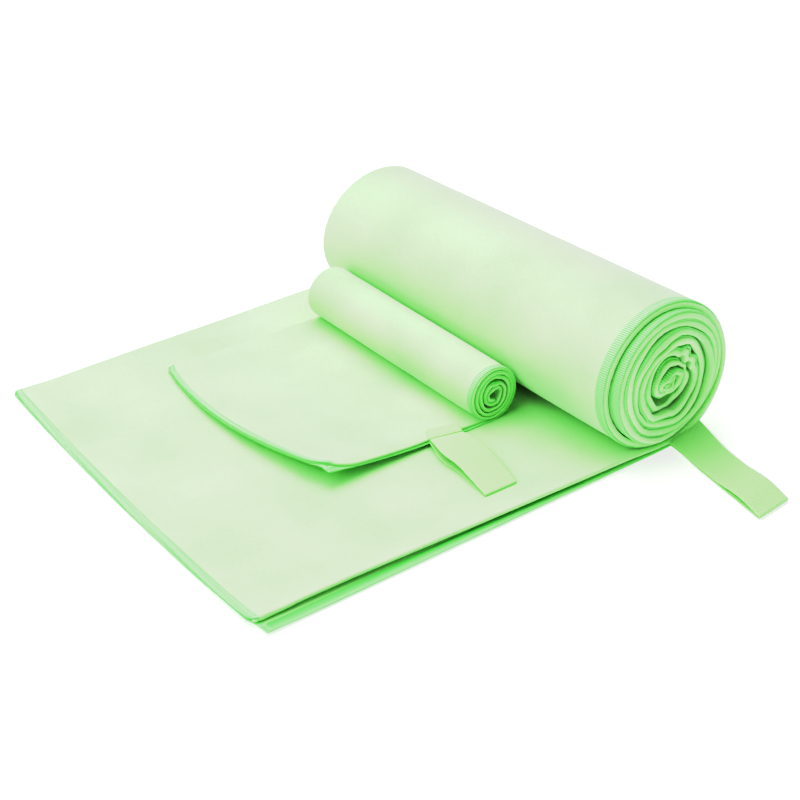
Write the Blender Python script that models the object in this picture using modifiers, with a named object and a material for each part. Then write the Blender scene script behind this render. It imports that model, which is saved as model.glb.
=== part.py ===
"""Set of two quick-dry towels: a bath towel and a hand towel lying on it.

Each towel is one thin cloth, overlocked round its edges, with an elastic loop
sewn to its near side. It is folded lengthwise in three, its front part lies
flat and the rest is rolled up. Where the cloth bends at a joint it is cut into
sections, and each section is a separate solid.

Metres, +Z up. Each towel is drawn in its own frame: X runs across the folded
strip, from the far fold to the near fold, and Y runs from the front hem
towards the roll.
"""

import math
from dataclasses import dataclass

import bmesh
import bpy
from mathutils import Matrix, Vector

MM = 0.001
COLLECTION_NAME = "quick_dry_towel_set"

# Where the middle of the whole set's footprint lies in the bath towel's frame.
FOOTPRINT_MIDDLE = Vector((177.84 * MM, 127.25 * MM, 0.0))

# Cloth, hems and elastic
CLOTH_THICKNESS = 0.55 * MM
LAYER_STEP = 0.75 * MM  # from one folded layer to the next, centre to centre
PACK_THICKNESS = CLOTH_THICKNESS + 2.0 * LAYER_STEP
HEM_WIDTH = 6.2 * MM
HEM_THICKNESS = 0.65 * MM
ELASTIC_THICKNESS = 1.0 * MM
STRAPS_APART = 0.5 * MM  # between the loop's two runs where they lie together
TAB_DEPTH = 6.0 * MM
TAB_CLEARANCE = 0.8 * MM  # inside the roll, between the hem and the tab sewn under it
PART_GAP = 0.3 * MM  # between pieces that touch on the real towel
ROLL_LIFT = 0.1 * MM  # keeps the roll's first facet off the table
LIFT_AT_FAR_FOLD = 0.15  # of the lift at the near front corner
TELESCOPE_TURNS = 2.0  # turns over which the roll starts to stand out
TELESCOPE_SHAPE = 1.5
FAR_TUCK_TURNS = 0.5  # over which the far fold is drawn in
STRAP_SETTLING = 12.0 * MM  # the length over which a loop comes down off its root
LENS_SHAPE = 1.5

# Mesh density
SEGMENTS_A_TURN = 24
SEGMENTS_A_FOLD = 6
SEGMENTS_A_STRAP = 14
COLUMNS_LENGTHWAYS = 6
STEPS_ACROSS = 14

CLOTH_COLOUR = (0.66, 0.86, 0.58, 1.0)
HEM_COLOUR = (0.46, 0.85, 0.46, 1.0)
ELASTIC_COLOUR = (0.42, 0.68, 0.34, 1.0)


@dataclass(frozen=True)
class Towel:
    """One towel's driving dimensions, in its own frame."""

    name: str
    cut_width: float
    cut_length: float
    folded_width: float
    hem_reach: float  # how far the outer panel's hem passes the near fold
    front_skew: float  # how far the front hem runs forward across the strip
    front_bow: float
    hinge_y: float
    hinge_height: float
    contact_far: float  # where the roll touches down, at X = 0
    contact_near: float  # and at X = folded_width
    radius_far: float
    radius_near: float
    core_radius: float
    telescope: float  # how far the inner turns stand out at the near end
    far_tuck: float  # how far the far fold is drawn in on the roll
    corner_lift: float
    base: float
    placement: Matrix


@dataclass(frozen=True)
class Loop:
    """A folded elastic loop, in its towel's frame."""

    start_y: float
    width: float
    length: float
    slope: float  # sideways drift for each unit of length
    lens: float  # the height of the open space between the two runs
    swing_from: float  # the distance from the edge at which it bends
    root_height: float


BATH = Towel(
    name="large",
    cut_width=800.0 * MM,
    cut_length=1600.0 * MM,
    folded_width=269.0 * MM,
    hem_reach=6.5 * MM,
    front_skew=31.0 * MM,
    front_bow=3.0 * MM,
    hinge_y=30.0 * MM,
    hinge_height=PACK_THICKNESS,
    contact_far=247.5 * MM,
    contact_near=234.6 * MM,
    radius_far=40.0 * MM,
    radius_near=43.0 * MM,
    core_radius=4.5 * MM,
    telescope=8.0 * MM,
    far_tuck=20.0 * MM,
    corner_lift=0.0,
    base=0.0,
    placement=Matrix.Translation(-FOOTPRINT_MIDDLE),
)
HAND_TURN = math.radians(-1.0)
HAND_CORNER = Vector((35.5 * MM, 80.0 * MM, 0.0))
HAND = Towel(
    name="small",
    cut_width=450.0 * MM,
    cut_length=450.0 * MM,
    folded_width=153.0 * MM,
    hem_reach=6.5 * MM,
    front_skew=4.5 * MM,
    front_bow=9.0 * MM,
    hinge_y=44.0 * MM,
    hinge_height=PACK_THICKNESS,
    contact_far=114.0 * MM,
    contact_near=106.4 * MM,
    radius_far=16.8 * MM,
    radius_near=16.8 * MM,
    core_radius=3.6 * MM,
    telescope=3.0 * MM,
    far_tuck=4.0 * MM,
    corner_lift=7.0 * MM,
    base=PACK_THICKNESS + PART_GAP,
    placement=Matrix.Translation(HAND_CORNER - FOOTPRINT_MIDDLE) @ Matrix.Rotation(HAND_TURN, 4, "Z"),
)

BATH_LOOP = Loop(
    start_y=240.0 * MM,
    width=26.0 * MM,
    length=80.0 * MM,
    slope=-0.227,
    lens=6.5 * MM,
    swing_from=25.0 * MM,
    root_height=0.0,
)
HAND_LOOP = Loop(
    start_y=62.0 * MM,
    width=20.0 * MM,
    length=59.0 * MM,
    slope=-0.203,
    lens=6.5 * MM,
    swing_from=PART_GAP,
    root_height=PACK_THICKNESS + PART_GAP,
)


# ---------------------------------------------------------------- helpers


def clear_scene():
    """Removes what the file opened with."""
    for old in list(bpy.data.objects):
        bpy.data.objects.remove(old, do_unlink=True)


def new_collection(name):
    collection = bpy.data.collections.new(name)
    bpy.context.scene.collection.children.link(collection)
    return collection


def finish_material(name, colour, roughness):
    material = bpy.data.materials.new(name)
    material.use_nodes = True
    shader = material.node_tree.nodes["Principled BSDF"]
    shader.inputs["Base Color"].default_value = colour
    shader.inputs["Roughness"].default_value = roughness
    shader.inputs["Metallic"].default_value = 0.0
    return material


def joint_empty(collection, name, location):
    """An empty on a joint's axis, which the moving pieces hang from."""
    empty = bpy.data.objects.new(name, None)
    empty.location = location
    empty.empty_display_size = 20.0 * MM
    collection.objects.link(empty)
    return empty


def lerp(low, high, share):
    return low + (high - low) * share


def smooth(share):
    """Eases from 0 to 1."""
    share = min(max(share, 0.0), 1.0)
    return share * share * (3.0 - 2.0 * share)


def at_row(points, share):
    """The point at a share of the way down a list of points."""
    return points[round(share * (len(points) - 1))]


def sheet(parent, name, rows, columns, place, thickness, colour, roughness=0.9):
    """A grid laid along place(u, v) and given its thickness by Solidify."""
    grid = bmesh.new()
    bmesh.ops.create_grid(grid, x_segments=rows, y_segments=columns, size=0.5)
    for vertex in grid.verts:
        vertex.co = place(vertex.co.x + 0.5, vertex.co.y + 0.5) - parent.location
    mesh = bpy.data.meshes.new(name)
    grid.to_mesh(mesh)
    grid.free()
    mesh.shade_smooth()
    piece = bpy.data.objects.new(name, mesh)
    piece.parent = parent
    parent.users_collection[0].objects.link(piece)
    mesh.materials.append(finish_material(name + "_finish", colour, roughness))
    solid = piece.modifiers.new("thickness", "SOLIDIFY")
    solid.thickness = thickness
    solid.offset = 0.0
    solid.use_even_offset = True
    return piece


# ---------------------------------------------------------------- the folded strip


def outer_edge(towel):
    """X of the hem that shows past the near fold."""
    return towel.folded_width + towel.hem_reach


def inner_edge(towel):
    """X of the hem that is folded inside, near the far fold."""
    return towel.folded_width - (towel.cut_width - towel.folded_width - outer_edge(towel))


def arc(centre, radius, start, stop):
    """Points of an arc in XZ, from one angle in degrees to another, ends included."""
    points = []
    for step in range(SEGMENTS_A_FOLD + 1):
        angle = math.radians(lerp(start, stop, step / SEGMENTS_A_FOLD))
        points.append((centre[0] + radius * math.cos(angle), centre[1] + radius * math.sin(angle)))
    return points


def fold_section(towel, inner_x, outer_x, outer_z):
    """The strip's section in XZ: inner panel, near fold, top, far fold, outer panel."""
    inner_z = outer_z + LAYER_STEP
    near_radius = LAYER_STEP / 2.0
    near_fold = arc((towel.folded_width - near_radius, inner_z + near_radius), near_radius, -90.0, 90.0)
    far_fold = arc((LAYER_STEP, outer_z + LAYER_STEP), LAYER_STEP, 90.0, 270.0)
    return [(inner_x, inner_z)] + near_fold + far_fold + [(outer_x, outer_z)]


def subdivided(points, longest):
    """The same line of points, with none further apart than longest."""
    result = [points[0]]
    for start, stop in zip(points, points[1:]):
        pieces = max(1, math.ceil(math.dist(start, stop) / longest))
        for step in range(1, pieces + 1):
            result.append(tuple(lerp(a, b, step / pieces) for a, b in zip(start, stop)))
    return result


def front_line(towel, x):
    """Y of the front hem's outer edge at x."""
    share = max(x / towel.folded_width, 0.0)
    bowed = min(share, 1.0)
    return -towel.front_skew * share - towel.front_bow * 4.0 * bowed * (1.0 - bowed)


def contact_line(towel, x):
    """Y of the line on which the roll touches down at x."""
    return lerp(towel.contact_far, towel.contact_near, x / towel.folded_width)


def lifted(towel, x, y):
    """How far the cloth stands off what it lies on: most at the near front corner."""
    front = front_line(towel, x)
    forward = 1.0 - min(max((y - front) / (towel.hinge_y - front), 0.0), 1.0)
    across = lerp(LIFT_AT_FAR_FOLD, 1.0, smooth(x / towel.folded_width))
    return towel.corner_lift * across * forward * forward


def strip_place(towel, section, start, stop):
    """place(u, v) for a stretch of the folded strip between two lines, given as Y of X."""

    def place(u, v):
        x, z = at_row(section, u)
        y = lerp(start(x), stop(x), v)
        return towel.placement @ Vector((x, y, towel.base + z + lifted(towel, x, y)))

    return place


def make_strips(towel, static, moving):
    """The cloth and hems of the flat part: the front section moves, the rest is still."""
    long_step = towel.folded_width / STEPS_ACROSS
    inner = inner_edge(towel)
    outer = outer_edge(towel)
    inner_z = CLOTH_THICKNESS / 2.0 + LAYER_STEP
    cloth_from = inner + HEM_WIDTH + PART_GAP
    cloth_to = outer - HEM_WIDTH - PART_GAP
    cloth = subdivided(fold_section(towel, cloth_from, cloth_to, CLOTH_THICKNESS / 2.0), long_step)
    hemmed = subdivided(fold_section(towel, inner, outer, HEM_THICKNESS / 2.0), long_step)
    outer_strip = [(outer - HEM_WIDTH, HEM_THICKNESS / 2.0), (outer, HEM_THICKNESS / 2.0)]
    inner_strip = [(inner, inner_z), (inner + HEM_WIDTH, inner_z)]

    def hem_start(x):
        return front_line(towel, x)

    def hem_stop(x):
        return front_line(towel, x) + HEM_WIDTH

    def flap_start(x):
        return front_line(towel, x) + HEM_WIDTH + PART_GAP

    def flap_stop(x):
        return towel.hinge_y - PART_GAP / 2.0

    def flat_start(x):
        return towel.hinge_y + PART_GAP / 2.0

    def flat_stop(x):
        return contact_line(towel, x) - PART_GAP

    def piece(body, suffix, section, start, stop, thickness, colour, columns):
        place = strip_place(towel, section, start, stop)
        sheet(body, f"{towel.name}_{suffix}", len(section) - 1, columns, place, thickness, colour)

    lengthways = COLUMNS_LENGTHWAYS
    piece(moving, "hem_front", hemmed, hem_start, hem_stop, HEM_THICKNESS, HEM_COLOUR, 1)
    piece(moving, "cloth_flap", cloth, flap_start, flap_stop, CLOTH_THICKNESS, CLOTH_COLOUR, lengthways)
    piece(moving, "hem_outer_flap", outer_strip, flap_start, flap_stop, HEM_THICKNESS, HEM_COLOUR, lengthways)
    piece(moving, "hem_inner_flap", inner_strip, flap_start, flap_stop, CLOTH_THICKNESS, HEM_COLOUR, lengthways)
    piece(static, "cloth_flat", cloth, flat_start, flat_stop, CLOTH_THICKNESS, CLOTH_COLOUR, 1)
    piece(static, "hem_outer_flat", outer_strip, flat_start, flat_stop, HEM_THICKNESS, HEM_COLOUR, 1)
    piece(static, "hem_inner_flat", inner_strip, flat_start, flat_stop, CLOTH_THICKNESS, HEM_COLOUR, 1)


# ---------------------------------------------------------------- the roll


def roll_turns(towel):
    """How many turns the cloth behind the contact line makes."""
    flat_length = contact_line(towel, towel.folded_width / 2.0) - front_line(towel, towel.folded_width / 2.0)
    start = towel.radius_near - PACK_THICKNESS / 2.0
    mean_scale = (1.0 + towel.radius_far / towel.radius_near) / 2.0
    return (towel.cut_length - flat_length) / (math.pi * (start + towel.core_radius) * mean_scale)


def drift(towel, turn):
    """How far a turn has crept towards the near end."""
    return towel.telescope * (1.0 - math.exp(-((turn / TELESCOPE_TURNS) ** TELESCOPE_SHAPE)))


def roll_point(towel, turn, x, outward):
    """A point on the roll: turn counts from the contact line, outward from the pack's middle."""
    turns = roll_turns(towel)
    start = towel.radius_near - PACK_THICKNESS / 2.0
    radius = lerp(start, towel.core_radius, turn / turns) + outward
    scale = lerp(towel.radius_far, towel.radius_near, x / towel.folded_width) / towel.radius_near
    angle = 2.0 * math.pi * turn
    y = contact_line(towel, x) + scale * radius * math.sin(angle)
    z = towel.base + ROLL_LIFT + scale * (towel.radius_near - radius * math.cos(angle))
    return towel.placement @ Vector((x, y, z))


def roll_place(towel, first, last, low_x, high_x, outward):
    """place(u, v) for a spiral ribbon between two edges, given as X of the turn."""

    def place(u, v):
        turn = lerp(first, last, u)
        return roll_point(towel, turn, lerp(low_x(turn), high_x(turn), v), outward)

    return place


def make_roll(towel, static):
    """The rolled cloth, its stitched near hem and the hem at its core."""
    turns = roll_turns(towel)
    core_gap = PART_GAP / (2.0 * math.pi * towel.core_radius)
    core_hem = HEM_WIDTH / (2.0 * math.pi * towel.core_radius)
    cloth_end = turns - core_gap - core_hem
    rows = round(cloth_end * SEGMENTS_A_TURN)

    def far_x(turn):
        return towel.far_tuck * smooth(turn / FAR_TUCK_TURNS)

    def fold_x(turn):
        return towel.folded_width + drift(towel, turn)

    def hem_low(turn):
        return outer_edge(towel) - HEM_WIDTH + drift(towel, turn)

    def hem_high(turn):
        return outer_edge(towel) + drift(towel, turn)

    cloth = roll_place(towel, 0.0, cloth_end, far_x, fold_x, 0.0)
    sheet(static, f"{towel.name}_cloth_roll", rows, 1, cloth, PACK_THICKNESS, CLOTH_COLOUR)
    hem_outward = (PACK_THICKNESS - HEM_THICKNESS) / 2.0
    hem = roll_place(towel, 0.0, cloth_end, hem_low, hem_high, hem_outward)
    sheet(static, f"{towel.name}_hem_outer_roll", rows, 1, hem, HEM_THICKNESS, HEM_COLOUR)
    core = roll_place(towel, cloth_end + core_gap, turns, far_x, fold_x, 0.0)
    core_rows = max(3, round(core_hem * SEGMENTS_A_TURN))
    sheet(static, f"{towel.name}_hem_core", core_rows, 1, core, PACK_THICKNESS, HEM_COLOUR)


# ---------------------------------------------------------------- the elastic loops


def strap_section(towel, loop, rest):
    """The loop's section in XZ: out along the lower run, round its end and back."""
    apart = ELASTIC_THICKNESS + STRAPS_APART
    end = loop.length - apart / 2.0
    lower, upper = [], []
    for step in range(SEGMENTS_A_STRAP + 1):
        share = step / SEGMENTS_A_STRAP
        along = lerp(loop.swing_from, end, share)
        sunk = rest + loop.root_height * (1.0 - smooth((along - loop.swing_from) / STRAP_SETTLING))
        bulge = loop.lens * math.sin(math.pi * share) ** LENS_SHAPE
        lower.append((along, sunk + ELASTIC_THICKNESS / 2.0))
        upper.append((along, sunk + ELASTIC_THICKNESS / 2.0 + apart + bulge))
    bend = arc((end, rest + ELASTIC_THICKNESS / 2.0 + apart / 2.0), apart / 2.0, -90.0, 90.0)
    return lower + bend[1:-1] + upper[::-1]


def strap_point(towel, loop, along, share, z):
    x = outer_edge(towel) + along
    y = loop.start_y + loop.width * share + loop.slope * along
    return towel.placement @ Vector((x, y, z))


def make_loop(towel, loop, body, rest):
    """The free part of the loop, in one piece round its end."""
    section = strap_section(towel, loop, rest)

    def place(u, v):
        along, z = at_row(section, u)
        return strap_point(towel, loop, along, v, z)

    sheet(body, f"{towel.name}_loop", len(section) - 1, 1, place, ELASTIC_THICKNESS, ELASTIC_COLOUR)


def make_bath_root(static):
    """The bath towel's sewn tab inside the roll, and the run that comes out from under it."""
    together = 2.0 * ELASTIC_THICKNESS + STRAPS_APART
    hem_x = outer_edge(BATH)
    first_turn = math.asin((BATH_LOOP.start_y - contact_line(BATH, hem_x)) / BATH.radius_near) / (2.0 * math.pi)
    last_turn = first_turn + BATH_LOOP.width / (2.0 * math.pi * BATH.radius_near)
    inward = PACK_THICKNESS / 2.0 - HEM_THICKNESS - TAB_CLEARANCE - ELASTIC_THICKNESS / 2.0

    def tab_low(turn):
        return BATH.folded_width + PART_GAP

    def tab_high(turn):
        return hem_x - PART_GAP

    tab = roll_place(BATH, first_turn, last_turn, tab_low, tab_high, inward)
    sheet(static, "large_loop_tab", 6, 1, tab, ELASTIC_THICKNESS, ELASTIC_COLOUR)

    def root(u, v):
        along = lerp(PART_GAP, BATH_LOOP.swing_from - PART_GAP, u)
        turn = lerp(first_turn, last_turn, v)
        on_roll = roll_point(BATH, turn, hem_x, PACK_THICKNESS / 2.0 - together / 2.0)
        on_floor = strap_point(BATH, BATH_LOOP, along, v, together / 2.0)
        settled = smooth(along / BATH_LOOP.swing_from)
        y = lerp(on_roll.y + BATH_LOOP.slope * along, on_floor.y, settled)
        z = lerp(on_roll.z, on_floor.z, settled)
        return Vector((on_floor.x, y, z))

    sheet(static, "large_loop_root", 8, 6, root, together, ELASTIC_COLOUR)


def make_hand_tab(static):
    """The hand towel's sewn tab, on top of its near edge."""
    z = HAND.base + PACK_THICKNESS + PART_GAP + ELASTIC_THICKNESS / 2.0

    def place(u, v):
        x = lerp(HAND.folded_width - TAB_DEPTH, outer_edge(HAND), u)
        return HAND.placement @ Vector((x, HAND_LOOP.start_y + HAND_LOOP.width * v, z))

    sheet(static, "small_loop_tab", 2, 4, place, ELASTIC_THICKNESS, ELASTIC_COLOUR)


# ---------------------------------------------------------------- the set


def main():
    clear_scene()
    collection = new_collection(COLLECTION_NAME)

    bath = joint_empty(collection, "large_towel_origin", Vector((0.0, 0.0, 0.0)))
    bath_hinge = BATH.placement @ Vector((BATH.folded_width / 2.0, BATH.hinge_y, BATH.hinge_height))
    bath_flap = joint_empty(collection, "large_flap_axis", bath_hinge)
    together = 2.0 * ELASTIC_THICKNESS + STRAPS_APART
    bath_swing = strap_point(BATH, BATH_LOOP, BATH_LOOP.swing_from, 0.5, together)
    bath_loop = joint_empty(collection, "large_loop_axis", bath_swing)

    hand_middle = Vector((HAND.folded_width / 2.0, HAND.contact_near, HAND.base))
    hand = joint_empty(collection, "small_towel_origin", HAND.placement @ hand_middle)
    hand_hinge = Vector((HAND.folded_width / 2.0, HAND.hinge_y, HAND.base + HAND.hinge_height))
    hand_flap = joint_empty(collection, "small_flap_axis", HAND.placement @ hand_hinge)
    hand_swing = strap_point(HAND, HAND_LOOP, 0.0, 0.5, HAND.base + HAND_LOOP.root_height + together)
    hand_loop = joint_empty(collection, "small_loop_axis", hand_swing)

    bpy.context.view_layer.update()

    make_strips(BATH, bath, bath_flap)
    make_roll(BATH, bath)
    make_bath_root(bath)
    make_loop(BATH, BATH_LOOP, bath_loop, 0.0)

    make_strips(HAND, hand, hand_flap)
    make_roll(HAND, hand)
    make_hand_tab(hand)
    make_loop(HAND, HAND_LOOP, hand_loop, HAND.base)


main()
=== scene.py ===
"""The looks of the quick-dry towel set: two folded and half-rolled microfibre towels.

Each towel is one continuous sheet. A point on it is (s, t): s runs across the cut cloth, from the
hem that is folded inside to the hem that shows, and t runs along it, from the front hem to the
hem at the roll's core. Cloth.points() bends that sheet into its folds and its roll, and the
hems are laid along the sheet's four edges with the same function.

Metres, +Z up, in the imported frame.
"""

import math

import bpy
import numpy as np
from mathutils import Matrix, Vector


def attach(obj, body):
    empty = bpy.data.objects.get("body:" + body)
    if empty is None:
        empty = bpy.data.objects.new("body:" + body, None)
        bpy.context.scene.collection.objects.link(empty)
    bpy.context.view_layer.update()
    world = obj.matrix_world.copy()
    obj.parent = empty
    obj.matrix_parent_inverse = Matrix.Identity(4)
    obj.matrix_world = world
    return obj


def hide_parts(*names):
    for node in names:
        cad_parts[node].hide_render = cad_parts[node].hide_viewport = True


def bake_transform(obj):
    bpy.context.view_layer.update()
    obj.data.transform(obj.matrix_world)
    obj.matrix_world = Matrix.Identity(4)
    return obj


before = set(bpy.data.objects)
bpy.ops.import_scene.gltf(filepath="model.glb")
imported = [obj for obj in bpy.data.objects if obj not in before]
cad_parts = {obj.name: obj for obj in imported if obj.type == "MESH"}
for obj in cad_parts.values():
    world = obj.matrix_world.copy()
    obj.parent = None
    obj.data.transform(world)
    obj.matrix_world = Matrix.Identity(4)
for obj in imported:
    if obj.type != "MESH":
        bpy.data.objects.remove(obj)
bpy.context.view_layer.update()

MM = 0.001
TOWEL_ORIGIN = np.array([-177.84, -127.25, 0.0]) * MM  # the bath towel's own corner in the frame
HALF_CLOTH = 0.3 * MM
STITCH = 1.2 * MM  # from one overlock stitch to the next
TAU = 2.0 * math.pi

RIB = 1.1 * MM  # from one rib of the elastic to the next
THREAD = MM / 1.1  # from one lengthways thread of the elastic to the next
STRAP = 1.0 * MM  # the elastic's thickness

# How the flat part's folds sit.
FRONT_LOOSE = 0.34  # the share by which the layers stand apart at the front hem
FRONT_LOOSE_FROM, FRONT_LOOSE_OVER = 6.5 * MM, 16.0 * MM
FAR_CORNER = 1.8 * MM  # how far the far front corner is pushed back
TAIL_REACH = 25.0 * MM
FOLD_HOVER_REACH = 9.0 * MM
ROLLED_CREEP, ROLLED_CREEP_OVER = 1.8 * MM, 60.0 * MM

MOST_TURNS, STEPS_TO_A_TURN = 11, 64  # of the tables that describe a roll

# How the wound part differs from a plain spiral.
PUFF_REACH, PUFF_START, PUFF_CORE = 8.0 * MM, 25.0 * MM, 22.0 * MM
PUFF_FROM_HEIGHT = 1.2 * MM
CALM_OUTSIDE = 3.0 * MM  # the outermost cloth, which no ripple reaches
RIPPLES = ((0.5, 3.0, 4.0 * MM, 0.0), (0.4, 5.0, -3.3 * MM, 1.0), (0.25, 9.0, 2.6 * MM, 2.0))


# ---------------------------------------------------------------- small maths


def ease(value):
    value = np.clip(value, 0.0, 1.0)
    return value * value * (3.0 - 2.0 * value)


def near(distance, reach):
    """1 at no distance, falling away over reach."""
    return np.exp(-np.abs(distance) / reach)


def unit(vectors):
    return vectors / np.maximum(np.linalg.norm(vectors, axis=-1, keepdims=True), 1e-12)


def cosine_steps(low, high, count):
    """Places from low to high, close together near both ends."""
    return low + (high - low) * (1.0 - np.cos(np.pi * np.arange(count + 1) / count)) / 2.0


def swell(x, y, wave, seed):
    """A smooth random surface from 0 to 1, with hills about a wave apart."""
    draw = np.random.default_rng(seed)
    total = np.zeros(np.broadcast(x, y).shape)
    for _ in range(5):
        heading = draw.uniform(0.0, TAU)
        length = wave * draw.uniform(0.7, 1.6)
        phase = draw.uniform(0.0, TAU)
        along = x * math.cos(heading) + y * math.sin(heading)
        total = total + np.sin(TAU * along / length + phase)
    return 0.5 + total / 10.0


# ---------------------------------------------------------------- the cloth


class Cloth:
    """A folded, half-rolled towel as a function of (s, t)."""

    def __init__(self, **facts):
        self.__dict__.update(facts)
        self.make_section()
        self.make_spiral()

    # -- across

    def level_outer(self, x):
        return 0.32 * MM + 0.2 * MM * ease((x - self.fold + 7.0 * MM) / (7.0 * MM))

    def level_inner(self, x):
        return self.level_outer(0.0) + self.layer + 0.12 * MM * near(self.fold - x, 20.0 * MM)

    def level_top(self, x):
        return self.level_inner(x) + self.layer + self.fold_spring * near(self.fold - x, 22.0 * MM)

    def make_section(self):
        """Tables of X and Z against s for the letter fold."""
        near_radius = (self.level_top(self.fold) - self.level_inner(self.fold)) / 2.0
        far_radius = (self.level_top(0.0) - self.level_outer(0.0)) / 2.0
        outer_edge = self.fold + self.hem_reach
        turn = np.linspace(-0.5, 0.5, 41)[1:-1] * np.pi
        near_x = self.fold - near_radius
        near_z = (self.level_top(self.fold) + self.level_inner(self.fold)) / 2.0
        far_z = (self.level_top(0.0) + self.level_outer(0.0)) / 2.0
        bends = np.pi * (near_radius + far_radius)
        used = bends + (near_x - far_radius) + (outer_edge - far_radius)
        inner_start = near_x - (self.cut[0] - used)
        panels = [
            (np.linspace(inner_start, near_x, 400), self.level_inner),
            (np.linspace(near_x, far_radius, 400), self.level_top),
            (np.linspace(far_radius, outer_edge, 400), self.level_outer),
        ]
        arcs = [
            (near_x + near_radius * np.cos(turn), near_z + near_radius * np.sin(turn)),
            (far_radius - far_radius * np.cos(turn), far_z - far_radius * np.sin(turn)),
        ]
        xs, zs, marks = [], [], [0]
        for index, (x, level) in enumerate(panels):
            xs.append(x)
            zs.append(level(x))
            marks.append(marks[-1] + len(x) - 1)
            if index < 2:
                xs.append(arcs[index][0])
                zs.append(arcs[index][1])
                marks.append(marks[-1] + len(arcs[index][0]) + 1)
        self.section_x = np.concatenate(xs)
        self.section_z = np.concatenate(zs)
        steps = np.hypot(np.diff(self.section_x), np.diff(self.section_z))
        length = np.concatenate([[0.0], np.cumsum(steps)])
        self.section_s = length * self.cut[0] / length[-1]
        self.breaks = [self.section_s[m] for m in marks]

    def across(self):
        """The places of the mesh's columns."""
        counts = self.columns
        places = []
        for k, (low, high) in enumerate(zip(self.breaks, self.breaks[1:])):
            if k % 2 == 0:
                places.append(cosine_steps(low, high, counts[0])[:-1])
            else:
                places.append(np.linspace(low, high, counts[1] + 1)[:-1])
        return np.concatenate(places + [[self.cut[0]]])

    # -- along

    def make_spiral(self):
        """Tables of turn, radius and drift against the length of cloth behind the contact line."""
        turns = np.linspace(0.0, MOST_TURNS, STEPS_TO_A_TURN * MOST_TURNS + 1)
        window = np.ones(9) / 9.0

        def smoothed(places, values):
            table = np.interp(turns, places, np.array(values) * MM)
            for _ in range(2):
                ends = (2 * table[0] - table[4:0:-1], 2 * table[-1] - table[-2:-6:-1])
                table = np.convolve(np.concatenate([ends[0], table, ends[1]]), window, mode="valid")
            return table

        self.turns = turns
        self.ring = smoothed(np.arange(len(self.rings)) * 0.25, self.rings)
        self.drifts = smoothed(np.arange(len(self.drift)) * 0.25, self.drift)
        middle = (self.ring[1:] + self.ring[:-1]) / 2.0
        self.wound = np.concatenate([[0.0], np.cumsum(TAU * middle * np.diff(turns))])

    def front(self, x):
        share = np.maximum(x / self.fold, 0.0)
        bowed = np.minimum(share, 1.0)
        return -self.skew * share - self.bow * 4.0 * bowed * (1.0 - bowed)

    def contact(self, x):
        return self.contacts[0] + (self.contacts[1] - self.contacts[0]) * x / self.fold

    def to_roll(self, x):
        """The length of cloth behind the contact line."""
        return self.cut[1] - (self.contact(x) - self.front(x))

    def along(self):
        """The places of the mesh's rows."""
        mean = self.contact(self.fold / 2) - self.front(self.fold / 2)
        low = min(self.contact(x) - self.front(x) for x in (0.0, self.fold)) - 8.0 * MM
        high = mean + 18.0 * MM
        flat = low * np.linspace(0.0, 1.0, self.rows[0] + 1)[:-1] ** 1.35
        bend = np.linspace(low, high, self.rows[1] + 1)[:-1]
        last = np.interp(self.cut[1] - mean, self.wound, self.turns)
        first = np.interp(high - mean, self.wound, self.turns)
        count = math.ceil((last - first) * self.rows[2])
        rolled = mean + np.interp(np.linspace(first, last, count + 1), self.turns, self.wound)
        rolled[-1] = self.cut[1]
        return np.concatenate([flat, bend, rolled])

    # -- the whole

    def shape(self, s, t):
        """Where (s, t) lies in the towel's own frame."""
        x = np.interp(s, self.section_s, self.section_x)
        z = np.interp(s, self.section_s, self.section_z)
        outer = ease((s - self.breaks[3]) / (self.breaks[4] - self.breaks[3]))
        to_fold = self.fold - np.minimum(x, self.fold)
        y = self.front(x) + t
        corner_x, corner_y = self.corner_pull(to_fold, t)
        y = y + (1.0 - outer) * (corner_y + FAR_CORNER * near(x, 3.5 * MM) * near(t, 9.0 * MM))
        tail = near(x - self.fold - self.hem_reach, TAIL_REACH)
        y = y + outer * self.tail_back * tail * near(t, TAIL_REACH)
        spread = FRONT_LOOSE * (1.0 - ease((t - FRONT_LOOSE_FROM) / FRONT_LOOSE_OVER))
        z = z * (1.0 + spread) + 0.12 * MM * spread / FRONT_LOOSE

        q = y - self.contact(x)
        behind = np.maximum(q, 0.0)
        creep = self.fold_creep[0] + (self.fold_creep[1] - self.fold_creep[0]) * ease(
            (y - self.front(x)) / (self.contact(x) - self.front(x))
        )
        creep = creep + ROLLED_CREEP * ease(behind / ROLLED_CREEP_OVER)
        wander = np.sin(behind / (37.0 * MM)) + 0.6 * np.sin(behind / (13.0 * MM) + 1.0)
        creep = creep + self.fold_wander * wander * ease(behind / (40.0 * MM))
        x = x + (1.0 - outer) * (creep * ease(1.0 - to_fold / (0.28 * self.fold)) - corner_x)
        before_roll = 1.0 - ease((y - self.contact(x) + 30.0 * MM) / (40.0 * MM))
        hover = self.hover * near(to_fold, FOLD_HOVER_REACH) * before_roll
        z = z + (1.0 - outer) * hover * ease((t - 2.0 * MM) / (30.0 * MM))

        flat = np.stack([x, y, z + self.lift(x, y, z)], axis=-1)

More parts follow.
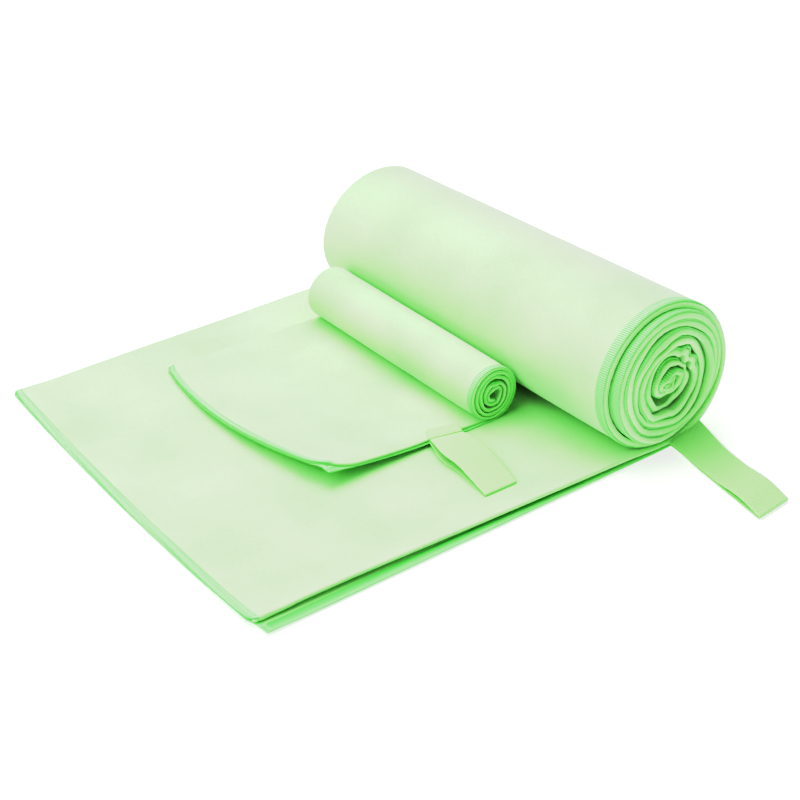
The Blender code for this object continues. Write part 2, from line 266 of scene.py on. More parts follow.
        size = (self.radii[0] + (self.radii[1] - self.radii[0]) * x / self.fold) / self.radii[1]
        turn = np.interp(behind * self.to_roll(self.fold) / self.to_roll(x), self.wound, self.turns)
        ring = np.interp(turn, self.turns, self.ring)
        puffed = self.puff * near(to_fold, PUFF_REACH) * ease(behind / PUFF_START)
        puffed = puffed * ease(ring / PUFF_CORE)
        radius = ring + self.level_outer(0.0) - z
        radius = radius - (1.0 - outer) * puffed * np.maximum(z - PUFF_FROM_HEIGHT, 0.0)
        drift = np.interp(turn, self.turns, self.drifts)
        angle = TAU * turn
        tuck = (self.far_tuck + self.far_slant * (np.sin(angle) - np.cos(angle))) * ease(2.0 * turn)
        rolled_x = tuck + (self.fold + drift - tuck) * x / self.fold
        shown = 0.3 + 0.7 * ease((rolled_x - 0.4 * self.fold) / (0.5 * self.fold))
        inner = ease((self.radii[1] - CALM_OUTSIDE - radius) / (0.25 * self.radii[1]))
        unrest = self.unrest * shown * inner
        ripple = sum(
            share * np.sin(count * angle + radius / wave + phase)
            for share, count, wave, phase in RIPPLES
        )
        radius = radius + unrest * ripple
        rolled_x = rolled_x + unrest * np.sin(2.0 * angle + 1.7 * turn) * x / self.fold
        radius = self.crumple(radius, angle, shown)
        side = size * radius * np.sin(angle)
        rise = -size * radius * np.cos(angle)
        side, rise = self.squeeze(side, rise, radius)
        height = self.base + self.rest(rolled_x, self.contact(x)) + size * self.radii[1] + rise
        rolled = np.stack([rolled_x, self.contact(x) + side, height], axis=-1)
        return np.where(q[..., None] > 0.0, rolled, flat)

    def corner_pull(self, to_fold, t):
        """How far the folded front corner is drawn in, which makes its square a quarter circle."""
        u = np.clip(1.0 - to_fold / self.corner_size, 0.0, 1.0)
        v = np.clip(1.0 - t / self.corner_size, 0.0, 1.0)
        kept = np.maximum(u, v) / np.maximum(np.hypot(u, v), 1e-9)
        return self.corner_size * u * (1.0 - kept), self.corner_size * v * (1.0 - kept)

    def lift(self, x, y, z):
        """How far the flat part stands off what it lies on."""
        front = self.front(x)
        forward = 1.0 - np.clip((y - front) / (self.lift_to - front), 0.0, 1.0)
        share = 0.12 + 0.88 * ease(x / self.fold)
        raised = self.corner_lift * share * forward**1.4
        raised = raised + self.edge_lift * near(self.fold - x, 30.0 * MM) * (
            1.0 - ease((y - self.contact(x) + 50.0 * MM) / (38.0 * MM))
        )
        settled = 1.0 - ease((y - self.contact(x) + 45.0 * MM) / (45.0 * MM))
        loose = ease(z / (2.0 * MM)) * self.top_swell * swell(x, y, self.wave, self.seed) * settled
        return self.base + self.rest(x, y) + raised + loose

    def rest(self, x, y):
        """How far what the towel lies on stands above its base."""
        if self.under is None:
            return 0.35 * MM * swell(x, y, 90.0 * MM, 3) * ease((self.contact(x) - y) / (60.0 * MM))
        world = self.to_world(np.stack(np.broadcast_arrays(x, y, 0.0 * x), axis=-1))
        local = world - TOWEL_ORIGIN
        return np.maximum(self.under.top(local[..., 0], local[..., 1]) - self.base, 0.0)

    def top(self, x, y):
        """The height of the flat part's upper face at a point of the towel's own frame."""
        inside = np.clip(x, 0.0, self.fold)
        z = self.level_top(inside) + HALF_CLOTH
        return z + self.lift(inside, y, z)

    def crumple(self, radius, angle, shown):
        """Small folds in the middle wraps, mostly near the near end."""
        moved = radius
        for centre, width, middle, reach, depth, count in self.crumples:
            offset = (angle - centre + np.pi) % TAU - np.pi
            window = np.maximum(1.0 - (offset / width) ** 2, 0.0)
            rings = np.exp(-(((radius - middle) / reach) ** 2))
            wave = 0.5 - 0.5 * np.cos(count * np.pi * (offset / width + 1.0))
            moved = moved - depth * window * rings * wave * shown
        return moved

    def squeeze(self, side, rise, radius):
        """Flattens the core into a tilted oval and moves its centre."""
        amount = ease((self.core_reach - radius) / (0.6 * self.core_reach))
        stretch = 1.0 + self.core_flat * amount
        c, d = math.cos(self.core_tilt), math.sin(self.core_tilt)
        long_way = (side * c + rise * d) * stretch
        short_way = (-side * d + rise * c) / stretch
        side = long_way * c - short_way * d
        rise = long_way * d + short_way * c
        shift = ease((self.core_reach * 1.5 - radius) / (self.core_reach * 1.2))
        return side + self.core_shift[0] * shift, rise + self.core_shift[1] * shift

    def to_world(self, local):
        c, d = math.cos(self.turned), math.sin(self.turned)
        x = local[..., 0] * c - local[..., 1] * d + self.corner[0]
        y = local[..., 0] * d + local[..., 1] * c + self.corner[1]
        return np.stack([x, y, local[..., 2]], axis=-1) + TOWEL_ORIGIN

    def points(self, s, t):
        return self.to_world(self.shape(s, t))

    def frame_at(self, s, t):
        """Points, unit steps along s and t, and the unit normal."""
        step = 0.15 * MM
        high_s, low_s = np.minimum(s + step, self.cut[0]), np.maximum(s - step, 0.0)
        high_t, low_t = np.minimum(t + step, self.cut[1]), np.maximum(t - step, 0.0)
        along_s = unit(self.points(high_s, t) - self.points(low_s, t))
        along_t = unit(self.points(s, high_t) - self.points(s, low_t))
        return self.points(s, t), along_s, along_t, unit(np.cross(along_s, along_t))


# ---------------------------------------------------------------- meshes


def grid_mesh(name, points, uv, material, wrap=False, caps=False):
    """A mesh over a grid of points, rows by columns; wrap joins the last column to the first."""
    rows, columns = points.shape[:2]
    index = np.arange(rows * columns).reshape(rows, columns)
    if wrap:
        index = np.concatenate([index, index[:, :1]], axis=1)
    quads = np.stack([index[:-1, :-1], index[1:, :-1], index[1:, 1:], index[:-1, 1:]], axis=-1)
    faces = quads.reshape(-1, 4).tolist()
    if caps:
        faces.append(index[0, :-1].tolist())
        faces.append(index[-1, :-1][::-1].tolist())
    mesh = bpy.data.meshes.new(name)
    mesh.from_pydata(points.reshape(-1, 3).tolist(), [], faces)
    layer = mesh.uv_layers.new(name="cloth")
    corner = np.zeros(len(mesh.loops), np.int32)
    mesh.loops.foreach_get("vertex_index", corner)
    layer.data.foreach_set("uv", uv.reshape(-1, 2)[corner].astype(np.float32).ravel())
    mesh.shade_smooth()
    mesh.materials.append(material)
    piece = bpy.data.objects.new(name, mesh)
    bpy.context.scene.collection.objects.link(piece)
    return piece


def make_cloth(cloth, name, material):
    s, t = np.meshgrid(cloth.across(), cloth.along())
    piece = grid_mesh(name, cloth.points(s, t), np.stack([s, t], axis=-1), material)
    solid = piece.modifiers.new("thickness", "SOLIDIFY")
    solid.thickness = 2.0 * HALF_CLOTH
    solid.offset = 0.0
    solid.use_even_offset = False
    return piece


# Half of a hem's section, inwards from the edge and up from the cloth's middle, in mm.
HEM_PROFILE = np.array(
    [[6.3, 0.24], [5.9, 0.42], [4.2, 0.45], [2.4, 0.46], [0.7, 0.45], [-0.15, 0.34], [-0.42, 0.0]]
)
HEM_LOOP = np.concatenate([HEM_PROFILE, HEM_PROFILE[-2::-1] * [1.0, -1.0]]) * MM
HEM_STEPS = {"outer": 5, "inner": 2, "front": 5, "core": 3}  # of the mesh, to each stitch
THREAD_RISE, THREAD_REACH = 0.15 * MM, 0.2 * MM
FOLD_SHADE_OVER = 30.0 * MM  # painted shade on the outer hem fades over this, where the roll begins


def make_hem(cloth, name, edge, material):
    """Overlock stitching round one edge of the cloth, from end to end."""
    width, length = cloth.cut
    whole = width if edge in ("front", "core") else length
    places = np.linspace(0.0, whole, math.ceil(whole / STITCH * HEM_STEPS[edge]))
    run, corner = np.meshgrid(places, np.arange(len(HEM_LOOP)), indexing="ij")
    size = cloth.hem_size[edge]
    inward = HEM_LOOP[corner, 0] * size
    height = HEM_LOOP[corner, 1] * cloth.hem_height
    inside = np.maximum(inward, 0.0)
    if edge == "outer":
        s, t = width - inside, run
    elif edge == "inner":
        s, t = inside, run
    elif edge == "front":
        s, t = run, inside
    else:
        s, t = run, length - inside
    centre, along_s, along_t, normal = cloth.frame_at(s, t)
    out = {"outer": along_s, "inner": -along_s, "front": -along_t, "core": along_t}[edge]
    thread = 0.5 - 0.5 * np.cos(TAU * (run + 0.35 * inward) / STITCH)
    thread = thread * (0.5 + swell(run, inward, 9.0 * MM, 21))
    body = np.clip((5.9 * MM * size - inward) / (1.0 * MM), 0.0, 1.0)
    height = height + np.sign(height) * THREAD_RISE * thread * body
    beyond = np.maximum(-inward, 0.0) + np.where(inward < 0.0, THREAD_REACH * thread, 0.0)
    points = centre + normal * height[..., None] + out * beyond[..., None]
    uv = np.stack([run, inward], axis=-1)
    piece = grid_mesh(name, points, uv, material, wrap=True, caps=True)
    # Painted shade mask: 1 on the outer hem's flat part under the near fold, fading where the roll
    # begins.
    fold_shade = 0.0 * run
    if edge == "outer":
        fold_shade = ease((cloth.contacts[1] - run) / FOLD_SHADE_OVER)
    layer = piece.data.attributes.new("fold_shade", "FLOAT", "POINT")
    layer.data.foreach_set("value", fold_shade.astype(np.float32).ravel())
    return piece


def make_strap(name, centre, across, normal, length, widths, thickness, material):
    """A flat ribbed elastic along a line of centres."""
    count = 16
    angle = np.linspace(0.0, TAU, count, endpoint=False)
    flat = np.sign(np.cos(angle)) * np.abs(np.cos(angle)) ** 0.35
    tall = np.sign(np.sin(angle)) * np.abs(np.sin(angle)) ** 0.6
    ribbed = 1.0 + 0.16 * np.cos(TAU * length / RIB)
    points = (
        centre[:, None]
        + across[:, None] * (flat * widths[:, None] / 2.0)[..., None]
        + normal[:, None] * (tall[None] * ribbed[:, None] * thickness / 2.0)[..., None]
    )
    uv = np.stack(np.broadcast_arrays(length[:, None], flat * widths[:, None] / 2.0), axis=-1)
    return grid_mesh(name, points, uv, material, wrap=True, caps=True)


# ---------------------------------------------------------------- materials


def node(tree, kind, inputs=None, **settings):
    made = tree.nodes.new(kind)
    for key, value in settings.items():
        setattr(made, key, value)
    for key, value in (inputs or {}).items():
        if isinstance(value, bpy.types.NodeSocket):
            tree.links.new(value, made.inputs[key])
        else:
            made.inputs[key].default_value = value
    return made


def ramp(tree, factor, low, high, dark, light):
    made = node(tree, "ShaderNodeValToRGB", {"Fac": factor})
    made.color_ramp.elements[0].position = low
    made.color_ramp.elements[0].color = dark
    made.color_ramp.elements[1].position = high
    made.color_ramp.elements[1].color = light
    return made.outputs["Color"]


def bands(pitch):
    """The Wave texture's scale for bands about a pitch apart."""
    return 1.0 / (math.pi * pitch)


def blended(tree, share, first, second):
    """A mix of two textures' values, with a share of the second."""
    made = node(
        tree,
        "ShaderNodeMix",
        {"Factor": share, "A": first.outputs["Fac"], "B": second.outputs["Fac"]},
        data_type="FLOAT",
    )
    return made.outputs["Result"]


def product(tree, first, second):
    made = node(tree, "ShaderNodeMath", {0: first, 1: second}, operation="MULTIPLY")
    return made.outputs["Value"]


def emboss(tree, shader, height, strength, distance):
    """Drives the shader's normal from a height."""
    bump = node(
        tree, "ShaderNodeBump", {"Height": height, "Strength": strength, "Distance": distance}
    )
    tree.links.new(bump.outputs["Normal"], shader.inputs["Normal"])


def fabric(name, sheen, sheen_tint, roughness):
    """A material, its tree, its Principled shader and the cloth's own coordinates."""
    material = bpy.data.materials.new(name)
    material.use_nodes = True
    tree = material.node_tree
    shader = tree.nodes["Principled BSDF"]
    shader.inputs["Roughness"].default_value = roughness
    shader.inputs["Specular IOR Level"].default_value = 0.25
    shader.inputs["Sheen Weight"].default_value = sheen
    shader.inputs["Sheen Roughness"].default_value = 0.5
    shader.inputs["Sheen Tint"].default_value = sheen_tint
    cloth = node(tree, "ShaderNodeUVMap", uv_map="cloth").outputs["UV"]
    return material, tree, shader, cloth


def suede(name, dark, light):
    """Brushed microfibre: a short nap that lies in soft patches, with fine grain."""
    material, tree, shader, cloth = fabric(
        name, sheen=0.55, sheen_tint=(1.0, 0.985, 0.93, 1.0), roughness=0.95
    )
    noise = "ShaderNodeTexNoise"
    patches = node(tree, noise, {"Vector": cloth, "Scale": 14.0, "Detail": 3.0, "Roughness": 0.55})
    stretched = node(tree, "ShaderNodeMapping", {"Vector": cloth, "Scale": (1.0, 0.35, 1.0)})
    stretched = stretched.outputs["Vector"]
    nap = node(tree, noise, {"Vector": stretched, "Scale": 900.0, "Detail": 4.0, "Roughness": 0.7})
    grain = node(tree, noise, {"Vector": cloth, "Scale": 2600.0, "Detail": 2.0, "Roughness": 0.6})
    tone = blended(tree, 0.35, patches, nap)
    tree.links.new(ramp(tree, tone, 0.34, 0.68, dark, light), shader.inputs["Base Color"])
    emboss(tree, shader, blended(tree, 0.5, nap, grain), strength=0.35, distance=0.25 * MM)
    return material


def overlock(name, dark, light, shade_colour):
    """Thread laid side by side over the edge; painted shade darkens the outer hem under the fold.
    """
    material, tree, shader, cloth = fabric(
        name, sheen=0.12, sheen_tint=(0.9, 1.0, 0.8, 1.0), roughness=0.75
    )
    waves = node(
        tree,
        "ShaderNodeTexWave",
        {
            "Vector": cloth,
            "Scale": bands(STITCH),
            "Distortion": 0.6,
            "Detail": 1.0,
            "Detail Scale": 2.0,
        },
        bands_direction="X",
    )
    fuzz = node(tree, "ShaderNodeTexNoise", {"Vector": cloth, "Scale": 1500.0, "Detail": 3.0})
    threads = blended(tree, 0.4, waves, fuzz)
    inward = node(tree, "ShaderNodeSeparateXYZ", {"Vector": cloth}).outputs["Y"]
    # Painted shade: a deeper green is mixed in within 3.6 mm of the cloth side, where the mask is
    # set, most between threads.
    covered = node(
        tree, "ShaderNodeMapRange", {"Value": inward, "From Min": 0.0, "From Max": 3.6 * MM}
    )
    fold_shade = node(tree, "ShaderNodeAttribute", attribute_name="fold_shade")
    between = node(
        tree, "ShaderNodeMapRange", {"Value": waves.outputs["Fac"], "To Min": 1.0, "To Max": 0.45}
    )
    under = product(tree, covered.outputs["Result"], fold_shade.outputs["Fac"])
    colours = {
        "Fac": product(tree, under, between.outputs["Result"]),
        "Color1": ramp(tree, threads, 0.25, 0.7, dark, light),
        "Color2": shade_colour,
    }
    colour = node(tree, "ShaderNodeMixRGB", colours)
    tree.links.new(colour.outputs["Color"], shader.inputs["Base Color"])
    emboss(tree, shader, threads, strength=0.5, distance=0.2 * MM)
    return material


def elastic(name, dark, light):
    """Woven elastic: ribs across it, and fine lengthways threads."""
    material, tree, shader, cloth = fabric(
        name, sheen=0.2, sheen_tint=(1.0, 1.0, 0.9, 1.0), roughness=0.7
    )
    ribs = node(
        tree,
        "ShaderNodeTexWave",
        {"Vector": cloth, "Scale": bands(RIB), "Distortion": 0.3, "Detail": 1.0},
        bands_direction="X",
    )
    threads = node(
        tree,
        "ShaderNodeTexWave",
        {"Vector": cloth, "Scale": bands(THREAD), "Distortion": 0.5, "Detail": 1.0},
        bands_direction="Y",
    )
    weave = blended(tree, 0.4, ribs, threads)
    tree.links.new(ramp(tree, weave, 0.1, 0.9, dark, light), shader.inputs["Base Color"])
    emboss(tree, shader, weave, strength=0.45, distance=0.2 * MM)
    return material


# ---------------------------------------------------------------- the two towels

BATH = Cloth(
    cut=(0.8, 1.6),
    fold=269.0 * MM,
    hem_reach=6.5 * MM,
    layer=0.78 * MM,
    fold_spring=1.0 * MM,
    hover=1.5 * MM,
    skew=31.0 * MM,
    bow=3.0 * MM,
    contacts=(247.5 * MM, 234.6 * MM),
    radii=(40.0 * MM, 43.0 * MM),
    rings=(
        (42.5, 43.0, 43.2, 42.2)
        + (40.0, 39.4, 38.8, 37.2)
        + (35.6, 35.2, 34.5, 33.1)
        + (31.2, 30.6, 29.7, 28.3)
        + (26.6, 25.8, 24.7, 23.2)
        + (21.8, 21.0, 19.4, 18.6)
        + (17.2, 15.8, 12.0, 9.6)
        + (8.2, 8.2, 6.8, 6.2)
        + (5.2, 5.0, 3.8, 3.2)
        + (2.4, 2.2, 1.8)
    ),
    drift=(
        (0.0, 2.4, -2.4, -6.0)
        + (-3.6, 2.2, 2.2, 0.7)
        + (1.2, 2.6, 2.6, 1.6)
        + (2.6, 4.8, 3.8, 2.4)
        + (2.6, 3.4, 2.8, 2.4)
        + (3.0, 3.4, 3.4, 1.6)
        + (0.4, 0.6, 1.0, 2.0)
        + (3.4, 4.0, 4.0, 3.6, 3.4)
    ),
    unrest=0.75 * MM,
    far_tuck=20.0 * MM,
    far_slant=4.0 * MM,
    corner_size=6.0 * MM,
    puff=0.6,
    hem_size={"front": 0.66, "outer": 1.0, "inner": 1.0, "core": 0.8},
    hem_height=1.0,
    tail_back=3.5 * MM,
    fold_creep=(-1.6 * MM, 6.0 * MM),
    fold_wander=0.5 * MM,
    corner_lift=0.0,
    edge_lift=0.0,
    top_swell=0.7 * MM,
    wave=95.0 * MM,
    seed=11,
    lift_to=30.0 * MM,
    base=0.0,
    under=None,
    crumples=[
        (math.radians(134.0), 0.8, 17.5 * MM, 3.2 * MM, 4.0 * MM, 3),
        (math.radians(112.0), 0.55, 12.5 * MM, 2.6 * MM, 2.4 * MM, 2),
        (math.radians(322.0), 0.32, 21.0 * MM, 4.2 * MM, -2.4 * MM, 1),
        (math.radians(352.0), 0.35, 19.0 * MM, 3.4 * MM, 1.9 * MM, 1),
        (math.radians(215.0), 0.5, 24.0 * MM, 3.0 * MM, 1.1 * MM, 2),
    ],
    core_reach=13.5 * MM,
    core_flat=0.42,
    core_tilt=math.radians(17.0),
    core_shift=(-2.6 * MM, 0.2 * MM),
    turned=0.0,
    corner=(0.0, 0.0),
    columns=(34, 8),  # to a panel and to a fold
    rows=(52, 10, 36),  # to the flat part, to the bend before the roll, and to a turn of the roll
)
HAND = Cloth(
    cut=(0.45, 0.45),
    fold=153.0 * MM,
    hem_reach=6.5 * MM,
    layer=0.58 * MM,
    fold_spring=0.15 * MM,
    hover=0.3 * MM,
    skew=5.6 * MM,
    bow=10.6 * MM,
    contacts=(114.6 * MM, 106.4 * MM),
    radii=(16.4 * MM, 16.4 * MM),
    rings=(
        (16.1, 16.1, 15.9, 15.4)
        + (14.8, 14.2, 13.5, 12.9)
        + (12.4, 11.8, 11.2, 10.5)
        + (9.7, 8.8, 7.9, 7.2)
        + (6.5, 5.9, 5.2, 4.7)
        + (4.2, 4.0, 3.8)
    ),
    drift=(0.0, 0.3, 0.0, -0.6, 0.0, 0.5, 0.8, 0.4, 0.6, 0.9, 0.6, 0.4),
    unrest=0.3 * MM,
    far_tuck=1.5 * MM,
    far_slant=0.5 * MM,
    corner_size=17.0 * MM,
    puff=0.0,
    hem_size={"front": 0.5, "outer": 0.62, "inner": 0.62, "core": 0.5},
    hem_height=0.72,
    tail_back=0.0,
    fold_creep=(6.4 * MM, 5.2 * MM),
    fold_wander=0.3 * MM,
    corner_lift=6.3 * MM,
    edge_lift=2.4 * MM,
    top_swell=0.5 * MM,
    wave=70.0 * MM,
    seed=5,
    lift_to=58.0 * MM,
    base=2.35 * MM,
    under=BATH,
    crumples=[(math.radians(170.0), 0.8, 6.5 * MM, 2.0 * MM, 1.4 * MM, 1)],
    core_reach=7.0 * MM,
    core_flat=0.16,
    core_tilt=math.radians(30.0),
    core_shift=(0.0, 0.0),
    turned=math.radians(-1.0),
    corner=(35.5 * MM, 80.0 * MM),
    columns=(26, 6),
    rows=(34, 8, 40),
)

# ---------------------------------------------------------------- putting pieces together


def make_towel(cloth, prefix, materials):
    """The cloth and its four hems; the front hem rides the flap and the core hem the still towel.
    """
    cloth_material, hem_material = materials
    sheet = make_cloth(cloth, prefix + "_cloth", cloth_material)
    outer = make_hem(cloth, prefix + "_overlock_outer", "outer", hem_material)
    inner = make_hem(cloth, prefix + "_overlock_inner", "inner", hem_material)
    front = make_hem(cloth, prefix + "_overlock_front", "front", hem_material)
    core = make_hem(cloth, prefix + "_overlock_core", "core", hem_material)
    still, flap = prefix + "_towel", prefix + "_flap"
    for piece in (sheet, outer, inner):
        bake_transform(piece)
    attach(front, flap)
    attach(core, still)
    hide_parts(*[f"{prefix}_cloth_{part}" for part in ("flap", "flat", "roll")])
    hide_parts(*[f"{prefix}_hem_outer_{part}" for part in ("flap", "flat", "roll")])
    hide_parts(*[f"{prefix}_hem_inner_{part}" for part in ("flap", "flat")])
    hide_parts(prefix + "_hem_front")
    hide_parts(prefix + "_hem_core")
    return sheet, [outer, inner, front, core]


def run_along(points):
    """The length of a line up to each of its points."""
    steps = np.linalg.norm(np.diff(points, axis=0), axis=1)
    return np.concatenate([[0.0], np.cumsum(steps)])


def resampled(points, others, step):
    """The same line at an even step, with the other columns carried along."""
    lengths = run_along(points)
    at = np.linspace(0.0, lengths[-1], max(8, math.ceil(lengths[-1] / step)))
    table = np.concatenate([points, others], axis=1)
    table = np.stack([np.interp(at, lengths, table[:, k]) for k in range(table.shape[1])], axis=1)
    return table[:, :3], table[:, 3:]


def loop_line(along, low, high, end, apart):
    """Distance out and height: out on the low run, round the loop's end, back on the high run."""
    turn = np.linspace(-90.0, 90.0, 15)[1:-1] * math.pi / 180.0
    bend_out = end + 0.5 * apart * np.cos(turn)
    bend_up = 0.5 * (STRAP + apart) + 0.5 * apart * np.sin(turn)
    runs = [np.stack(run, axis=1) for run in ((along, low), (bend_out, bend_up), (along, high))]
    return np.concatenate([runs[0], runs[1], runs[2][::-1]])


def strap_along(name, at, line, thickness, material):
    """A strap whose two edges are at(out, 0, height) and at(out, 1, height) along a line."""
    low = at(line[:, 0], 0.0, line[:, 1])
    high = at(line[:, 0], 1.0, line[:, 1])
    centres, across = resampled((low + high) / 2.0, high - low, RIB / 4.0)
    widths = np.linalg.norm(across, axis=1)
    across = unit(across)
    normal = unit(np.cross(unit(np.gradient(centres, axis=0)), across))
    lengths = run_along(centres)
    return make_strap(name, centres, across, normal, lengths, widths, thickness, material)


LOOP_GAP = 1.15 * MM  # between the middles of a loop's two runs at its end
BATH_LOOP_START, BATH_LOOP_END, BATH_LOOP_OPEN = -5.5 * MM, 79.0 * MM, 40.0 * MM
BATH_LOOP_BULGE = 1.8 * MM
BATH_LOOP_SETTLE = 34.0 * MM  # the stretch in which it comes down from the roll to the table


def bath_strap_place(out, v, up):
    """A point of the bath towel's strap, out past its edge, v across and up over the table."""
    edge = BATH.fold + BATH.hem_reach
    share = np.maximum(out, 0.0) / BATH_LOOP_END
    y_low = 240.0 * MM - 19.3 * MM * share
    y_high = 265.0 * MM - 18.8 * MM * share
    y = y_low + (y_high - y_low) * v
    on_table = np.stack([edge + out - 2.5 * MM * v * share, y, up + 0.1 * MM], axis=1)
    around = (5.0 * MM + 25.0 * MM * v) / BATH.radii[1]
    reach = BATH.radii[1] - 1.0 * MM - up
    wound_y = BATH.contact(edge) + reach * np.sin(around)
    wound_z = BATH.radii[1] - reach * np.cos(around)
    wound = np.stack([edge + out, wound_y, wound_z], axis=1)
    fall = 1.0 - np.clip((out + 3.0 * MM) / BATH_LOOP_SETTLE, 0.0, 1.0)
    settled = (1.0 - fall**2.4)[:, None]
    return wound * (1.0 - settled) + on_table * settled + TOWEL_ORIGIN


def make_bath_loop(material):
    """The bath towel's loop, out of the roll's last turn and down onto the table."""
    start, end = BATH_LOOP_START, BATH_LOOP_END
    along = start + (end - start) * np.linspace(0.0, 1.0, 90)
    share = np.clip((along - BATH_LOOP_OPEN) / (end - BATH_LOOP_OPEN), 0.0, 1.0) ** 1.2
    low = 0.5 * STRAP + 0.0 * along
    high = 0.5 * STRAP + LOOP_GAP + BATH_LOOP_BULGE * np.sin(np.pi * share) ** 1.3
    line = loop_line(along, low, high, end, LOOP_GAP)
    return strap_along("large_loop_strap", bath_strap_place, line, STRAP, material)


HAND_EDGE = 4.5 * MM  # the top of the strap's tab over the bath towel
HAND_LOOP_START, HAND_LOOP_END = -5.0 * MM, 57.4 * MM
HAND_LOOP_BULGE = 1.7 * MM


def hand_strap_place(out, v, up):
    """A point of the hand towel's strap, out past its edge, v across and up over the bath towel."""
    past = np.maximum(out, 0.0)
    y_low = 60.7 * MM - 0.19 * past - 1.8 * MM * np.sin(np.pi * ease(past / (34.0 * MM)))
    y_low = y_low - 0.6 * np.minimum(out, 0.0)
    y_high = 80.6 * MM - 2.7 * past**2 - 0.3 * np.minimum(out, 0.0)
    y = y_low + (y_high - y_low) * v
    skew = 4.6 * MM * (1.0 - ease(past / (45.0 * MM)))
    x = HAND.fold + HAND.hem_reach + out + skew * v
    return HAND.to_world(np.stack([x, y, HAND.base + 0.5 * MM + up], axis=1))


def make_hand_loop(material):
    """The hand towel's loop, from its tab over the towel's edge and down onto the bath towel."""
    start, end = HAND_LOOP_START, HAND_LOOP_END
    along = start + (end - start) * np.linspace(0.0, 1.0, 90)
    down = 1.0 - ease((along + 2.0 * MM) / (14.0 * MM))
    low = 0.5 * STRAP + (HAND_EDGE - 2.2 * MM) * down
    share = np.clip(along / end, 0.0, 1.0)
    high = 0.5 * STRAP + LOOP_GAP + (HAND_EDGE - 1.9 * MM) * (1.0 - share**1.4)
    high = high + HAND_LOOP_BULGE * np.sin(np.pi * share**0.8)
    line = loop_line(along, low, high, end, LOOP_GAP)
    return strap_along("small_loop_strap", hand_strap_place, line, STRAP, material)


def make_hand_tab(material):
    """The sewn end of the strap, a doubled patch on top of the near edge."""
    out = np.linspace(-7.5 * MM, 0.6 * MM, 24)
    sewn = 0.35 * MM * np.exp(-(((out + 0.4 * MM) / (0.7 * MM)) ** 2))
    line = np.stack([out, HAND_EDGE + 0.55 * MM - sewn], axis=1)
    return strap_along("small_loop_sewn", hand_strap_place, line, 0.8 * MM, material)


# ---------------------------------------------------------------- building it

CLOTH_DARK = (0.335, 0.73, 0.255, 1.0)
CLOTH_LIGHT = (0.485, 0.82, 0.355, 1.0)
HEM_DARK = (0.17, 0.62, 0.15, 1.0)
HEM_LIGHT = (0.39, 0.82, 0.325, 1.0)
# Painted shade for the outer hem's flat part under the near fold.
HEM_PAINTED_SHADE = (0.06, 0.48, 0.06, 1.0)
ELASTIC_DARK = (0.30, 0.62, 0.215, 1.0)
ELASTIC_LIGHT = (0.44, 0.76, 0.315, 1.0)

suede_material = suede("mint_suede", CLOTH_DARK, CLOTH_LIGHT)
overlock_material = overlock("mint_overlock", HEM_DARK, HEM_LIGHT, HEM_PAINTED_SHADE)
elastic_material = elastic("olive_elastic", ELASTIC_DARK, ELASTIC_LIGHT)

towel_materials = (suede_material, overlock_material)
bath_sheet, bath_hems = make_towel(BATH, "large", towel_materials)
hand_sheet, hand_hems = make_towel(HAND, "small", towel_materials)
bath_loop = make_bath_loop(elastic_material)
hand_loop = make_hand_loop(elastic_material)
hand_tab = make_hand_tab(elastic_material)


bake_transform(bath_loop)
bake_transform(hand_loop)
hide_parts("large_loop_tab", "large_loop_root", "large_loop")
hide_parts("small_loop")
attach(hand_tab, "small_towel")
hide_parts("small_loop_tab")


# ---------------------------------------------------------------- floor, light and camera


WHITE = 1.5  # the brightness that shows as white


def stage_material(name, base, emission, roughness, specular):
    """A white surface that is lit by itself as well as by the lights."""
    material = bpy.data.materials.new(name)
    material.use_nodes = True
    shader = material.node_tree.nodes["Principled BSDF"]
    shader.inputs["Base Color"].default_value = (base, base, base, 1.0)
    shader.inputs["Roughness"].default_value = roughness
    shader.inputs["Specular IOR Level"].default_value = specular
    shader.inputs["Emission Color"].default_value = (1.0, 1.0, 1.0, 1.0)
    shader.inputs["Emission Strength"].default_value = emission
    return material


def make_floor():
    bpy.ops.mesh.primitive_plane_add(size=12.0, location=(0.0, 0.0, -0.0004))
    floor = bpy.context.object
    floor.name = "floor"
    material = stage_material("white_floor", base=0.72, emission=0.76, roughness=0.9, specular=0.1)
    floor.data.materials.append(material)


def make_backdrop():
    """A white dome round the floor, which neither lights nor shades anything."""
    bpy.ops.mesh.primitive_uv_sphere_add(segments=48, ring_count=24, radius=9.0)
    dome = bpy.context.object
    dome.name = "backdrop"
    material = stage_material(
        "white_backdrop", base=0.0, emission=WHITE, roughness=0.5, specular=0.0
    )
    dome.data.materials.append(material)
    for ray in ("diffuse", "glossy", "transmission", "volume_scatter", "shadow"):
        setattr(dome, "visible_" + ray, False)


LIGHT_TARGET = (0.0, 0.0, 0.03)


def make_light(name, location, size, power):
    """A round area light that faces the towels."""
    data = bpy.data.lights.new(name, "AREA")
    data.shape = "DISK"
    data.size = size
    data.energy = power
    light = bpy.data.objects.new(name, data)
    light.location = location
    light.rotation_mode = "QUATERNION"
    towards = Vector(LIGHT_TARGET) - Vector(location)
    light.rotation_quaternion = towards.to_track_quat("-Z", "Y")
    bpy.context.scene.collection.objects.link(light)


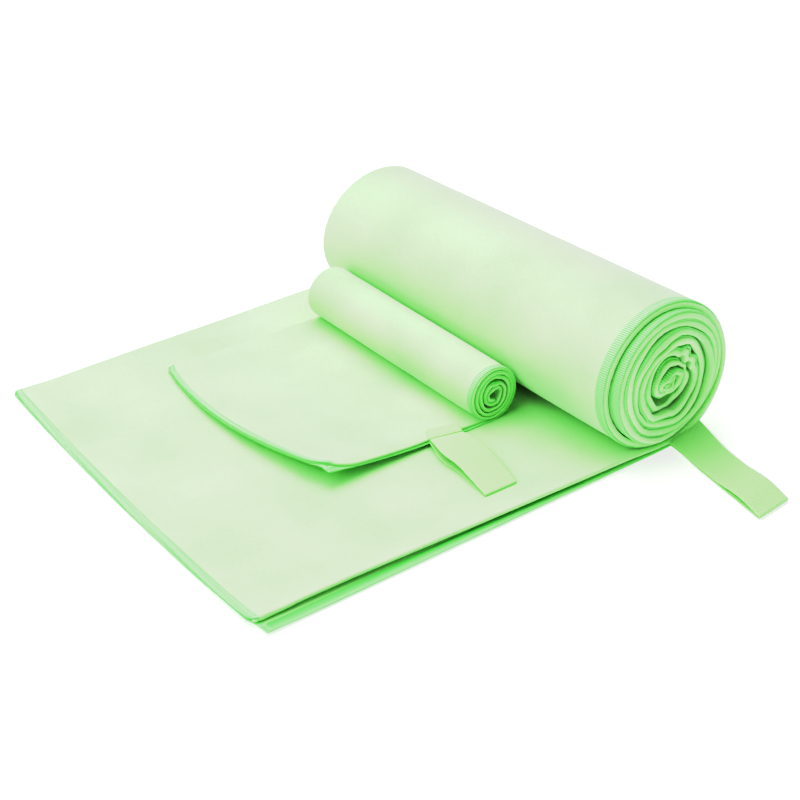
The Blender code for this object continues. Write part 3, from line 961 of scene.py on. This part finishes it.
def make_world(strength):
    world = bpy.data.worlds.new("studio")
    world.use_nodes = True
    background = world.node_tree.nodes["Background"]
    background.inputs["Color"].default_value = (1.0, 1.0, 1.0, 1.0)
    background.inputs["Strength"].default_value = strength
    bpy.context.scene.world = world


CAMERA_PLACE = (0.8935, -0.467, 0.539)  # from the bath towel's own corner
CAMERA_AIM = (-0.6714, 0.5631, -0.4819)


def make_camera():
    data = bpy.data.cameras.new("camera")
    data.lens = 90.0
    data.sensor_width = 36.0
    camera = bpy.data.objects.new("camera", data)
    camera.location = Vector(CAMERA_PLACE) + Vector(TOWEL_ORIGIN)
    camera.rotation_mode = "QUATERNION"
    camera.rotation_quaternion = Vector(CAMERA_AIM).to_track_quat("-Z", "Y")
    bpy.context.scene.collection.objects.link(camera)
    bpy.context.scene.camera = camera


# The view's curves, as points from brightness to what shows. Green and blue follow all channels.
ROLL_OFF = [(0.05, 0.025), (0.1, 0.062), (0.2, 0.16), (0.3, 0.28), (0.4, 0.41), (0.55, 0.6)]
ROLL_OFF += [(0.75, 0.735), (1.0, 0.79), (1.25, 0.84), (1.38, 0.93)]
GREEN_LIFT = [(0.05, 0.05), (0.12, 0.145), (0.25, 0.34), (0.42, 0.51), (0.62, 0.66), (0.8, 0.8)]
BLUE_LIFT = [(0.13, 0.135), (0.33, 0.36), (0.5, 0.51), (0.66, 0.64), (0.8, 0.79)]


def set_view():
    """A bright studio picture: highlights roll off softly, and the white floor goes to white."""
    view = bpy.context.scene.view_settings
    view.view_transform = "Standard"
    view.use_curve_mapping = True
    mapping = view.curve_mapping
    mapping.white_level = (WHITE, WHITE, WHITE)
    _, green, blue, combined = mapping.curves
    while len(combined.points) > 2:
        combined.points.remove(combined.points[1])
    for brightness, shown in ROLL_OFF:
        combined.points.new(brightness / WHITE, shown)
    for curve, lift in ((green, GREEN_LIFT), (blue, BLUE_LIFT)):
        for place, shown in lift:
            curve.points.new(place, shown)
    mapping.update()


make_floor()
make_backdrop()
make_world(strength=0.38)
make_light("key", (-0.55, 0.2, 1.4), size=1.6, power=26.0)
make_light("fill", (-0.1, -1.0, 1.05), size=1.5, power=15.0)
make_camera()
set_view()
